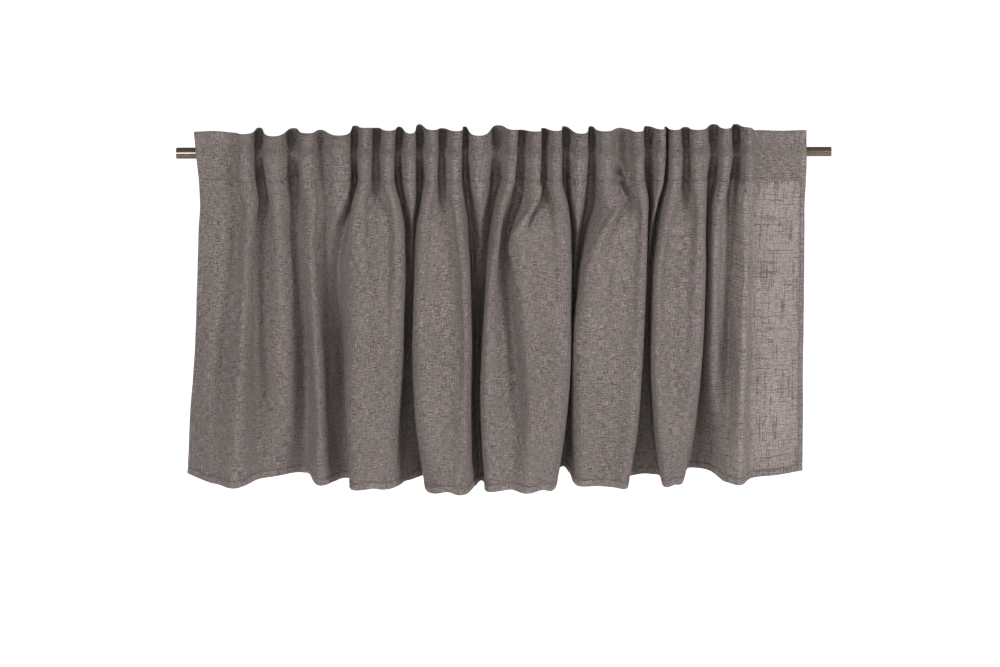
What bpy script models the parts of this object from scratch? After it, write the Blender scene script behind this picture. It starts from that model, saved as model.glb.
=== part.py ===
"""Gathered window valance on its telescopic curtain rod.

One width of melange cloth, turned over at the top into a frill and a channel, hangs in soft uneven folds
from a steel rod of two tubes. Run it with blender --background --python part.py, or from the text editor.
The frame is +Z up, the room in front at -Y, and the origin on the rod's axis at the middle of its length.
"""

import math

import bmesh
import bpy
import numpy as np

MM = 0.001

# The rod: a thick tube on the left, with the thin one slid into its end.
ROD_LENGTH = 1086 * MM
THICK_RADIUS = 9.5 * MM
THIN_RADIUS = 8.0 * MM
ROD_JOIN_X = 0 * MM
SOCKET_DEPTH = 120 * MM
ROD_CHAMFER = 0.8 * MM
ROD_SIDES = 32
SLIDING_GAP = 0.3 * MM
MERGE_DISTANCE = 0.01 * MM
SHARP_ANGLE = math.radians(40)

# The cloth, and the heights of its heading from the rod's axis.
CLOTH_THICKNESS = 1.5 * MM
TOP_EDGE = 37 * MM
FRILL_FOOT = 16 * MM
SEAM = -40 * MM
KNEE = -130 * MM
MIDDLE = -330 * MM
HEM = -570 * MM

# The cloth lies on the rod with this gap, and its flat facets reach in by the allowance.
SEAT_GAP = 0.3 * MM
FACET_ALLOWANCE = 4.2 * MM

# The back of the channel stands this far behind the rod's axis where the front of it is at its foremost and
# at its hindmost. The frill's foot is drawn in a little.
RIDGE_FORWARD = 40 * MM
BACK_AT_RIDGE = 12.5 * MM
VALLEY_FORWARD = 12 * MM
BACK_AT_VALLEY = 27 * MM
FOOT_DRAWN_IN = 2 * MM

# How finely the facets follow the folds.
FACET_WIDTH = 30 * MM
FRILL_FOOT_ROW = 1
FEWEST_FACETS = 2
ROUTE_STEPS = 24
MOST_FACETS = 4
ROWS_OVER_ROD = (0.27, 0.52, 0.76)
ROWS_UNDER_ROD = (0.22, 0.52)
SKIRT_ROWS = [z * MM for z in (-60, -85, -130, -190, -255, -325, -400, -480, -570)]

# The heights at which the fold lines are placed, and how far the cloth spreads there from its heading.
LEVELS = (
    ("top", TOP_EDGE, 1.000),
    ("seam", SEAM, 1.004),
    ("neck", -80 * MM, 1.004),
    ("knee", KNEE, 1.007),
    ("waist", -200 * MM, 1.011),
    ("middle", MIDDLE, 1.020),
    ("low", -450 * MM, 1.028),
    ("hem", HEM, 1.035),
)

# How far forward of the rod's axis each kind of fold line runs, at the top edge, rod and seam, in millimetres.
KINDS = {
    "ridge": (20, 41, 40),
    "proud": (24, 41, 38),
    "opening": (-20, 12, 6),
    "valley": (-26, 12, -6),
    "soft": (-6, 15, 18),
    "panel": (10, 18, 20),
    "edge": (6, 16, 15),
}

# A row for each fold line, from the left side edge to the right one: its name, its kind, how much its top
# edge rises, its place across at each of the levels, and how far forward it runs at knee, middle and hem.
# All in millimetres, before the spread of the level.
FOLD_LINES = (
    ("side_left", "edge", 0, (-512, -504, -503, -506, -509, -515, -523, -530), (14, 5, -8)),
    ("panel_left", "panel", 2, (-478, -478, -477, -477, -478, -487, -493, -493), (20, 22, 31)),
    ("panel_dip", "panel", -1, (-444, -443, -441, -443, -449, -462, -470, -472), (10, 18, 48)),
    ("a_crown", "ridge", -1, (-425, -424, -420, -423, -426, -432, -438, -444), (34, 50, 68)),
    ("a_dip", "valley", -1, (-407, -402, -396, -398, -405, -409, -408, -404), (6, 6, 20)),
    ("ab_fading", "proud", -4, (-380, -378, -374, -372, -370, -366, -362, -355), (32, 28, -4)),
    ("ab_valley", "valley", -2, (-350, -346, -345, -350, -344, -333, -331, -330), (2, -6, -10)),
    ("b_crown", "ridge", 0, (-324, -323, -318, -319, -317, -311, -306, -304), (34, 44, 52)),
    ("b_dip", "soft", 0, (-304, -300, -298, -301, -300, -295, -290, -282), (8, 4, 34)),
    ("bc_fading", "proud", -3, (-268, -266, -267, -282, -289, -284, -279, -268), (14, -6, 18)),
    ("bc_valley", "valley", 2, (-248, -247, -252, -264, -276, -272, -267, -257), (8, -12, 18)),
    ("c_left", "ridge", 9, (-228, -230, -240, -247, -249, -252, -252, -249), (48, 60, 78)),
    ("c_front", "opening", 0, (-211, -211, -208, -206, -206, -211, -214, -216), (43, 62, 81)),
    ("c_right", "ridge", 4, (-188, -190, -179, -171, -171, -174, -181, -188), (48, 60, 70)),
    ("cd_valley_1", "valley", 0, (-174, -176, -171, -165, -164, -167, -168, -161), (-8, -20, 33)),
    ("cd_fading", "proud", 0, (-153, -154, -152, -152, -154, -157, -156, -148), (8, -34, 17)),
    ("cd_valley_2", "valley", 4, (-141, -140, -141, -147, -149, -149, -144, -136), (2, -14, 5)),
    ("d_left", "ridge", 5, (-117, -118, -127, -136, -141, -144, -137, -124), (46, 62, 95)),
    ("d_front", "opening", -1, (-103, -104, -101, -97, -90, -88, -88, -93), (30, 52, 113)),
    ("d_right", "ridge", 3, (-76, -80, -77, -71, -64, -61, -63, -69), (48, 66, 112)),
    ("de_valley_1", "valley", 0, (-65, -64, -60, -55, -52, -51, -53, -49), (-8, -30, 70)),
    ("de_fading", "proud", -4, (-41, -41, -39, -38, -43, -45, -45, -39), (8, -40, 30)),
    ("de_valley_2", "valley", 2, (-10, -13, -18, -24, -33, -38, -38, -33), (-4, -16, 52)),
    ("e_left", "ridge", 5, (17, 11, -2, -11, -22, -29, -31, -28), (50, 66, 90)),
    ("e_dip", "opening", -4, (27, 23, 17, 8, 4, 16, 19, 11), (16, 36, 90)),
    ("e_crown", "ridge", 2, (56, 53, 46, 24, 28, 36, 43, 36), (56, 70, 103)),
    ("e_front", "opening", -1, (65, 62, 60, 57, 57, 58, 63, 62), (56, 66, 96)),
    ("e_right", "ridge", 3, (88, 87, 95, 102, 105, 103, 96, 79), (50, 66, 82)),
    ("ef_valley_1", "valley", 0, (101, 100, 105, 110, 110, 107, 102, 92), (-10, -32, -30)),
    ("ef_fading", "proud", -1, (129, 125, 123, 122, 118, 112, 108, 100), (8, -40, -28)),
    ("ef_valley_2", "valley", 0, (145, 144, 142, 133, 124, 117, 114, 110), (-6, -22, -8)),
    ("f_left", "ridge", 2, (166, 167, 174, 150, 133, 120, 119, 120), (54, 64, 58)),
    ("f_soft", "soft", 2, (190, 188, 194, 181, 170, 162, 158, 154), (56, 66, 64)),
    ("f_front", "soft", 0, (205, 205, 209, 206, 200, 194, 187, 178), (42, 60, 70)),
    ("f_right", "ridge", 1, (222, 224, 232, 231, 228, 223, 214, 200), (52, 66, 74)),
    ("fg_valley_1", "valley", 0, (238, 236, 239, 236, 234, 230, 225, 207), (-8, -18, 11)),
    ("fg_fading", "ridge", 5, (262, 258, 251, 244, 240, 236, 234, 232), (8, -24, 2)),
    ("fg_valley_2", "valley", -1, (269, 265, 258, 251, 246, 242, 245, 255), (-4, -16, 4)),
    ("g_left", "ridge", 4, (282, 280, 273, 261, 252, 248, 253, 266), (48, 58, 64)),
    ("g_front", "opening", 0, (302, 302, 301, 292, 281, 276, 281, 281), (32, 50, 60)),
    ("g_right", "ridge", 4, (320, 320, 325, 327, 326, 321, 310, 293), (46, 56, 50)),
    ("gh_valley", "valley", 3, (350, 346, 340, 335, 332, 327, 324, 310), (-4, -16, -28)),
    ("h_left", "ridge", 6, (366, 362, 355, 349, 347, 343, 345, 345), (38, 26, -9)),
    ("h_dip", "valley", 3, (386, 381, 378, 376, 374, 374, 373, 372), (2, 0, 20)),
    ("h_crown", "ridge", 8, (403, 403, 398, 399, 399, 394, 391, 390), (36, 44, 57)),
    ("h_side", "panel", 1, (416, 417, 417, 416, 414, 412, 411, 411), (22, 20, 21)),
    ("panel_right", "panel", 0, (459, 459, 457, 457, 455, 455, 454, 454), (22, 16, 8)),
    ("side_right", "edge", 0, (500, 499, 498, 498, 498, 498, 498, 499), (14, 4, -12)),
)

ROD_COLOUR = (0.42, 0.38, 0.33, 1)
CLOTH_COLOUR = (0.23, 0.19, 0.175, 1)


def clear_scene():
    for item in list(bpy.data.objects):
        bpy.data.objects.remove(item)


def make_material(name, colour, roughness, metallic):
    material = bpy.data.materials.new(name)
    material.use_nodes = True
    shader = material.node_tree.nodes["Principled BSDF"]
    shader.inputs["Base Color"].default_value = colour
    shader.inputs["Roughness"].default_value = roughness
    shader.inputs["Metallic"].default_value = metallic
    return material


def add_object(name, bm, material):
    mesh = bpy.data.meshes.new(name)
    bm.to_mesh(mesh)
    bm.free()
    mesh.materials.append(material)
    mesh.shade_smooth()
    mesh.set_sharp_from_angle(angle=SHARP_ANGLE)
    piece = bpy.data.objects.new(name, mesh)
    bpy.context.scene.collection.objects.link(piece)
    return piece


def make_turned_piece(name, profile, material):
    """A solid turned about the X axis from a profile of (x, radius), drawn from left to right."""
    bm = bmesh.new()
    points = [bm.verts.new((x, 0, radius)) for x, radius in profile]
    edges = [bm.edges.new(pair) for pair in zip(points, points[1:])]
    bmesh.ops.spin(
        bm, geom=points + edges, cent=(0, 0, 0), axis=(1, 0, 0), angle=2 * math.pi,
        steps=ROD_SIDES, use_merge=True, use_duplicate=False,
    )
    bmesh.ops.remove_doubles(bm, verts=bm.verts, dist=MERGE_DISTANCE)
    bmesh.ops.recalc_face_normals(bm, faces=bm.faces)
    return add_object(name, bm, material)


def make_rod(material):
    end = ROD_LENGTH / 2
    socket_end = ROD_JOIN_X - SOCKET_DEPTH
    socket_radius = THIN_RADIUS + SLIDING_GAP
    thick_profile = (
        (-end, 0),
        (-end, THICK_RADIUS - ROD_CHAMFER),
        (-end + ROD_CHAMFER, THICK_RADIUS),
        (ROD_JOIN_X, THICK_RADIUS),
        (ROD_JOIN_X, socket_radius),
        (socket_end, socket_radius),
        (socket_end, 0),
    )
    thin_profile = (
        (socket_end + SLIDING_GAP, 0),
        (socket_end + SLIDING_GAP, THIN_RADIUS),
        (end - ROD_CHAMFER, THIN_RADIUS),
        (end, THIN_RADIUS - ROD_CHAMFER),
        (end, 0),
    )
    make_turned_piece("rod_thick_tube", thick_profile, material)
    make_turned_piece("rod_thin_tube", thin_profile, material)


def smooth_through(stations, values, wanted):
    """Values at the wanted stations, on a curve through the given ones that never overshoots them."""
    stations, values = np.array(stations, float), np.array(values, float)
    if stations[0] > stations[-1]:
        stations, values = stations[::-1], values[::-1]
    steps = np.diff(stations)
    slopes = np.diff(values) / steps
    tangents = np.zeros(len(values))
    tangents[0], tangents[-1] = slopes[0], slopes[-1]
    for i in range(1, len(values) - 1):
        if slopes[i - 1] * slopes[i] > 0:
            tangents[i] = 2 * slopes[i - 1] * slopes[i] / (slopes[i - 1] + slopes[i])
    wanted = np.clip(np.array(wanted, float), stations[0], stations[-1])
    i = np.clip(np.searchsorted(stations, wanted) - 1, 0, len(steps) - 1)
    t = (wanted - stations[i]) / steps[i]
    return (
        (2 * t**3 - 3 * t**2 + 1) * values[i]
        + (t**3 - 2 * t**2 + t) * steps[i] * tangents[i]
        + (3 * t**2 - 2 * t**3) * values[i + 1]
        + (t**3 - t**2) * steps[i] * tangents[i + 1]
    )


def line_across(line, heights):
    """How far across a fold line lies at each height."""
    placed = [place * MM * spread for place, (_, _, spread) in zip(line[3], LEVELS)]
    return smooth_through([height for _, height, _ in LEVELS], placed, heights)


def line_forward(line, heights):
    """How far in front of the rod's axis a fold line of the skirt lies at each height."""
    seam = KINDS[line[1]][2]
    knee, middle, hem = line[4]
    return smooth_through(
        [SEAM, KNEE, MIDDLE, HEM], [seam * MM, knee * MM, middle * MM, hem * MM], heights
    )


def facets_between():
    """How many facets lie between each fold line and the next, from the widest gap between them."""
    counts = []
    for left, right in zip(FOLD_LINES, FOLD_LINES[1:]):
        heights = [height for _, height, _ in LEVELS[1:]]
        across = line_across(right, heights) - line_across(left, heights)
        forward = line_forward(right, heights) - line_forward(left, heights)
        widest = max(np.hypot(across, forward))
        counts.append(min(MOST_FACETS, max(FEWEST_FACETS, math.ceil(widest / FACET_WIDTH))))
    return counts


def section_curve(points, counts):
    """A rounded curve through the fold lines' points of one height, as (across, forward, up) rows."""
    points = np.array(points, float)
    gaps = np.linalg.norm(np.diff(points, axis=0), axis=1) ** 0.5
    knots = np.concatenate([[0], np.cumsum(gaps)])
    tangents = np.gradient(points, knots, axis=0)
    curve = [points[0]]
    for i, count in enumerate(counts):
        for step in range(1, count + 1):
            t = step / count
            curve.append(
                (2 * t**3 - 3 * t**2 + 1) * points[i]
                + (t**3 - 2 * t**2 + t) * gaps[i] * tangents[i]
                + (3 * t**2 - 2 * t**3) * points[i + 1]
                + (t**3 - t**2) * gaps[i] * tangents[i + 1]
            )
    return np.array(curve)


def clear_of_rod(point):
    """The point (across, forward, up), moved straight out from the rod until the cloth there is clear."""
    radius = THICK_RADIUS if point[0] < ROD_JOIN_X + THICK_RADIUS else THIN_RADIUS
    least = radius + SEAT_GAP + CLOTH_THICKNESS / 2 + FACET_ALLOWANCE
    out = math.hypot(point[1], point[2])
    if out >= least:
        return point
    return np.array([point[0], point[1] * least / out, point[2] * least / out])


def round_the_rod(start, end, shares):
    """Points at these shares of one layer's way between two heights, laid over the rod where it must."""
    path = np.array([clear_of_rod(start + (end - start) * t) for t in np.linspace(0, 1, ROUTE_STEPS + 1)])
    along = np.concatenate([[0], np.cumsum(np.linalg.norm(np.diff(path, axis=0), axis=1))])
    return [[np.interp(share * along[-1], along, path[:, axis]) for axis in range(3)] for share in shares]


def level_section(height, forward_of, rise_of=lambda line: 0):
    """The curve of one height of the heading, with a rule for how far forward each line lies."""
    points = []
    for line in FOLD_LINES:
        across = line_across(line, [height])[0]
        points.append((across, forward_of(line), height + rise_of(line)))
    return section_curve(points, facets_between())


def make_heading_rows():
    """The middle surfaces of the heading: rows of the frill, of the channel's front and of its back."""

    def top_forward(line):
        return KINDS[line[1]][0] * MM

    def rod_forward(line):
        return KINDS[line[1]][1] * MM

    def foot_forward(line):
        return (top_forward(line) + rod_forward(line)) / 2 - FOOT_DRAWN_IN

    def rod_backward(line):
        share = (RIDGE_FORWARD - rod_forward(line)) / (RIDGE_FORWARD - VALLEY_FORWARD)
        return -(BACK_AT_RIDGE + (BACK_AT_VALLEY - BACK_AT_RIDGE) * max(0, share))

    def seam_forward(line):
        return KINDS[line[1]][2] * MM

    top = level_section(TOP_EDGE, top_forward, rise_of=lambda line: line[2] * MM)
    foot = level_section(FRILL_FOOT, foot_forward)
    front_at_rod = level_section(0, rod_forward)
    back_at_rod = level_section(0, rod_backward)
    back_at_rod[:, 0] = front_at_rod[:, 0]
    seam = level_section(SEAM, seam_forward)
    layers = []
    for at_rod in (front_at_rod, back_at_rod):
        columns = []
        for above, beside, below in zip(foot, at_rod, seam):
            beside = clear_of_rod(beside)
            over = round_the_rod(above, beside, ROWS_OVER_ROD)
            under = round_the_rod(beside, below, ROWS_UNDER_ROD)
            columns.append(over + [beside] + under)
        layers.append(np.array(columns).transpose(1, 0, 2))
    return np.array([top, foot]), layers[0], layers[1], seam


def make_skirt_rows(seam):
    """The middle surface of the single cloth below the seam. A slanting fold hangs a little shorter."""
    rows = []
    for height in SKIRT_ROWS:
        points = []
        for line in FOLD_LINES:
            forward = line_forward(line, [height])[0]
            points.append((line_across(line, [height])[0], forward, height))
        row = section_curve(points, facets_between())
        row[:, 2] += (row[:, 1] - seam[:, 1]) ** 2 / (2 * (SEAM - height))
        rows.append(row)
    return np.array(rows)


def directions(grid, axis):
    """The grid's direction at each point along an axis, halfway between its two facets' directions."""
    steps = np.diff(grid, axis=axis)
    steps /= np.linalg.norm(steps, axis=2, keepdims=True)
    first, last = np.take(steps, [0], axis=axis), np.take(steps, [-1], axis=axis)
    return np.concatenate([first, steps], axis=axis) + np.concatenate([steps, last], axis=axis)


def surface_normals(grid):
    """Unit normals of a grid of points (across, forward, up) with its top row first, pointing forward."""
    normals = np.cross(directions(grid, 1), directions(grid, 0))
    return normals / np.linalg.norm(normals, axis=2, keepdims=True)


def make_skins():
    """The cloth's surfaces, a row of points for each height: outer front, outer back, and the channel."""
    frill, front, back, seam = make_heading_rows()
    skirt = make_skirt_rows(seam)
    half = CLOTH_THICKNESS / 2
    front_grid = np.concatenate([frill, front, [seam], skirt])
    back_grid = np.concatenate([frill, back, [seam], skirt])
    front_out = surface_normals(front_grid)
    back_out = surface_normals(back_grid)
    first, last = len(frill), len(frill) + len(front)
    depth = np.full((len(front_grid), 1, 1), half)
    depth[:first] = depth[last] = CLOTH_THICKNESS
    channel = slice(first, last)
    roof = frill[-1] - np.array([0, 0, 2 * CLOTH_THICKNESS])
    floor = seam + np.array([0, 0, 2 * CLOTH_THICKNESS])
    return {
        "outer_front": front_grid + front_out * depth,
        "outer_back": back_grid - back_out * depth,
        "inner_front": front - front_out[channel] * half,
        "inner_back": back + back_out[channel] * half,
        "roof": np.array([[clear_of_rod(point) for point in roof]]),
        "floor": floor[None],
    }


def section_cells(skins, first, last):
    """The cloth's upright section as cells of point labels, open where the rod's channel runs through."""
    rows = len(skins["outer_front"])
    layer_rows = len(skins["inner_front"])
    cells = []
    for i in list(range(first)) + list(range(last, rows - 1)):
        cells.append([("outer_front", i), ("outer_front", i + 1), ("outer_back", i + 1), ("outer_back", i)])
    for outer, inner in (("outer_front", "inner_front"), ("outer_back", "inner_back")):
        lining = [("roof", 0)] + [(inner, j) for j in range(layer_rows)] + [("floor", 0)]
        wall = []
        for k in range(len(lining) - 1):
            wall.append([(outer, first + k), (outer, first + k + 1), lining[k + 1], lining[k]])
        cells += wall if outer == "outer_front" else [cell[::-1] for cell in wall]
    cells.append([("outer_front", first), ("roof", 0), ("outer_back", first)])
    cells.append([("outer_front", last), ("outer_back", last), ("floor", 0)])
    return cells


def make_valance(material):
    """One closed solid: the section's cells cap its two side edges, and its outlines run along the cloth.

    Every facet is cut from its lower left to its upper right corner, so front and back stay parallel.
    """
    skins = make_skins()
    cells = section_cells(skins, FRILL_FOOT_ROW, FRILL_FOOT_ROW + len(skins["inner_front"]) + 1)
    sides = [(cell[i], cell[(i + 1) % len(cell)]) for cell in cells for i in range(len(cell))]
    outline = [(a, b) for a, b in sides if (b, a) not in sides]
    columns = skins["outer_front"].shape[1]
    bm = bmesh.new()
    points = {}
    for label in {label for side in sides for label in side}:
        if any(label in side for side in outline):
            for column in range(columns):
                across, forward, up = skins[label[0]][label[1], column]
                points[label, column] = bm.verts.new((across, -forward, up))
    for column in range(columns - 1):
        for a, b in outline:
            corners = [points[b, column], points[a, column], points[a, column + 1], points[b, column + 1]]
            if corners[0].co.z > corners[1].co.z:
                corners = corners[1:] + corners[:1]
            bm.faces.new(corners)
    for cell in cells:
        bm.faces.new([points[label, 0] for label in cell])
        bm.faces.new([points[label, columns - 1] for label in reversed(cell)])
    bmesh.ops.triangulate(bm, faces=bm.faces, quad_method="FIXED")
    bmesh.ops.recalc_face_normals(bm, faces=bm.faces)
    return add_object("valance", bm, material)


def main():
    clear_scene()
    make_rod(make_material("rod_steel", ROD_COLOUR, roughness=0.25, metallic=1.0))
    make_valance(make_material("valance_cloth", CLOTH_COLOUR, roughness=0.95, metallic=0.0))


main()
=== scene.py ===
"""Gathered window valance on its telescopic rod: the looks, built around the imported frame.

Laid out as a Blender add-on. Run as a script, it hangs the cloth, sews its seams, finishes the rod and
sets up the studio. Lengths are in metres, +Z is up, the room lies in front at -Y and the rod's axis is
the X axis.
"""

import math

import bmesh
import bpy
import numpy as np
from bpy.props import FloatProperty, FloatVectorProperty, PointerProperty
from mathutils import Matrix, Vector


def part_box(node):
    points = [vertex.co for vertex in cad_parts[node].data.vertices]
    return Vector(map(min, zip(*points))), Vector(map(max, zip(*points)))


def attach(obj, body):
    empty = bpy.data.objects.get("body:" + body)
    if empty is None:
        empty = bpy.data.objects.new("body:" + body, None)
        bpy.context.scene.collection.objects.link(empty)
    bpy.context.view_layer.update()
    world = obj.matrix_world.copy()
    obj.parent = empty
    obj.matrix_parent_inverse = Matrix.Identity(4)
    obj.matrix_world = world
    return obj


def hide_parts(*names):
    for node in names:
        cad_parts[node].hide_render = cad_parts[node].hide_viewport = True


bl_info = {
    "name": "Gathered Window Valance",
    "version": (1, 0, 0),
    "blender": (4, 5, 0),
    "location": "3D View > Sidebar > Valance",
    "description": "Hangs a gathered valance on a telescopic rod in a plain pale studio",
    "category": "Add Mesh",
}

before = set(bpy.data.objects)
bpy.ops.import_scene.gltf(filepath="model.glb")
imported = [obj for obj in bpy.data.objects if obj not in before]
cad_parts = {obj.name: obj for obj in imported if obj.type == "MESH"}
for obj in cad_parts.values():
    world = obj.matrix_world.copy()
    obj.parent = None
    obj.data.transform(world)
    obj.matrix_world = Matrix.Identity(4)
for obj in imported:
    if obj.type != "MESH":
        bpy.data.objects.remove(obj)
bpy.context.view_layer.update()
MM = 0.001

# The rod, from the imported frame.
ROD_LEFT, ROD_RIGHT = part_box("rod_thick_tube")[0].x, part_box("rod_thin_tube")[1].x
ROD_JOIN_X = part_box("rod_thick_tube")[1].x
SOCKET_END_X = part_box("rod_thin_tube")[0].x
THICK_RADIUS, THIN_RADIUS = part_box("rod_thick_tube")[1].z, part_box("rod_thin_tube")[1].z
SLIDING_GAP = 0.3 * MM
ROD_SIDES = 96
SHARP_EDGE_DEGREES = 30
END_CHAMFER = 0.5 * MM
INNER_CHAMFER = END_CHAMFER / 4
CHAMFER_BULGE = END_CHAMFER * 0.3
TUBE_WALL = 0.9 * MM
PLUG_DEPTH = 0.35 * MM

# The cloth's heights from the rod's axis.
TOP_EDGE = 37 * MM
FRILL_FOOT = 16 * MM
SEAM = -40 * MM
KNEE = -130 * MM
MIDDLE = -330 * MM
HEM = -570 * MM

# The cloth itself.
CLOTH_THICKNESS = 0.6 * MM
SIDE_HEM = 10 * MM
SIDE_HEM_REACHES = (0.5 * MM, SIDE_HEM / 2, SIDE_HEM)
BOTTOM_HEM = 12 * MM
HEM_TURN_MARGIN = 1.5 * MM
FLAP_BELOW_SEAM = 6 * MM
FOLD_GAP = 0.95 * MM
LAYER_GAP = 1.6 * MM
CORNER_GAP = 2.9 * MM
CORNER_REACH = 25 * MM
CROWN_RISE = 0.6 * MM
SEAT_GAP = 0.4 * MM

# The back of the channel stands this far behind the rod's axis at a ridge, and further at a valley. How far
# forward the front layer runs at the rod tells ridges from valleys. The frill's foot is drawn in a little.
BACK_AT_RIDGE = 12.5 * MM
BACK_AT_VALLEY = 27 * MM
RIDGE_FORWARD = 40 * MM
VALLEY_FORWARD = 12 * MM
FOOT_DRAWN_IN = 2 * MM

# The grid of the cloth: its columns between two fold lines, and its rows. The heights of the rows of the
# front layer are in millimetres, closest where the cloth is sewn. The hanging rows are evenly spaced.
COLUMN_WIDTH = 5.2 * MM
FEWEST_COLUMNS = 5
MOST_COLUMNS = 15
SIDE_HEM_COLUMNS = len(SIDE_HEM_REACHES)
HEADING_ROWS = (37, 33, 28.5, 24, 20, 16, 11, 6, 1, -5, -11, -17, -23, -28.5, -33, -36, -38.3)
SEWN_ROWS = (-40, -41.7, -44, -47.5, -52, -57.5)
FIRST_HANGING_ROW, LAST_HANGING_ROW, HANGING_ROW_COUNT = -64, -550, 62
HEM_ROWS = (-555, -557, -558, -559.2, -562, -566, -569.3, -570)
ROD_ROW = 1 * MM
BACK_ROWS = 13
ROUTE_STEPS = 72
ROUTE_SOFTENINGS = 10

# The heights at which the fold lines are placed, and how far the cloth spreads there from its heading.
LEVELS = (
    ("top", TOP_EDGE, 1.000),
    ("seam", SEAM, 1.004),
    ("neck", -80 * MM, 1.004),
    ("knee", KNEE, 1.007),
    ("waist", -200 * MM, 1.011),
    ("middle", MIDDLE, 1.020),
    ("low", -450 * MM, 1.028),
    ("hem", HEM, 1.035),
)

# How far forward of the rod's axis each kind of fold line runs, in millimetres, at the top edge, rod and
# seam, and how roundly the cloth turns over it in the heading and in the skirt.
KINDS = {
    "ridge": (20, 41, 40, 2.4, 1.3),
    "proud": (24, 41, 38, 2.4, 1.3),
    "opening": (-20, 12, 6, 1.5, 0.9),
    "valley": (-28, 12, -6, 1.5, 0.8),
    "soft": (-6, 15, 18, 1.2, 1.0),
    "panel": (10, 18, 20, 1.0, 1.0),
    "edge": (6, 16, 15, 1.0, 1.0),
}

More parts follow.
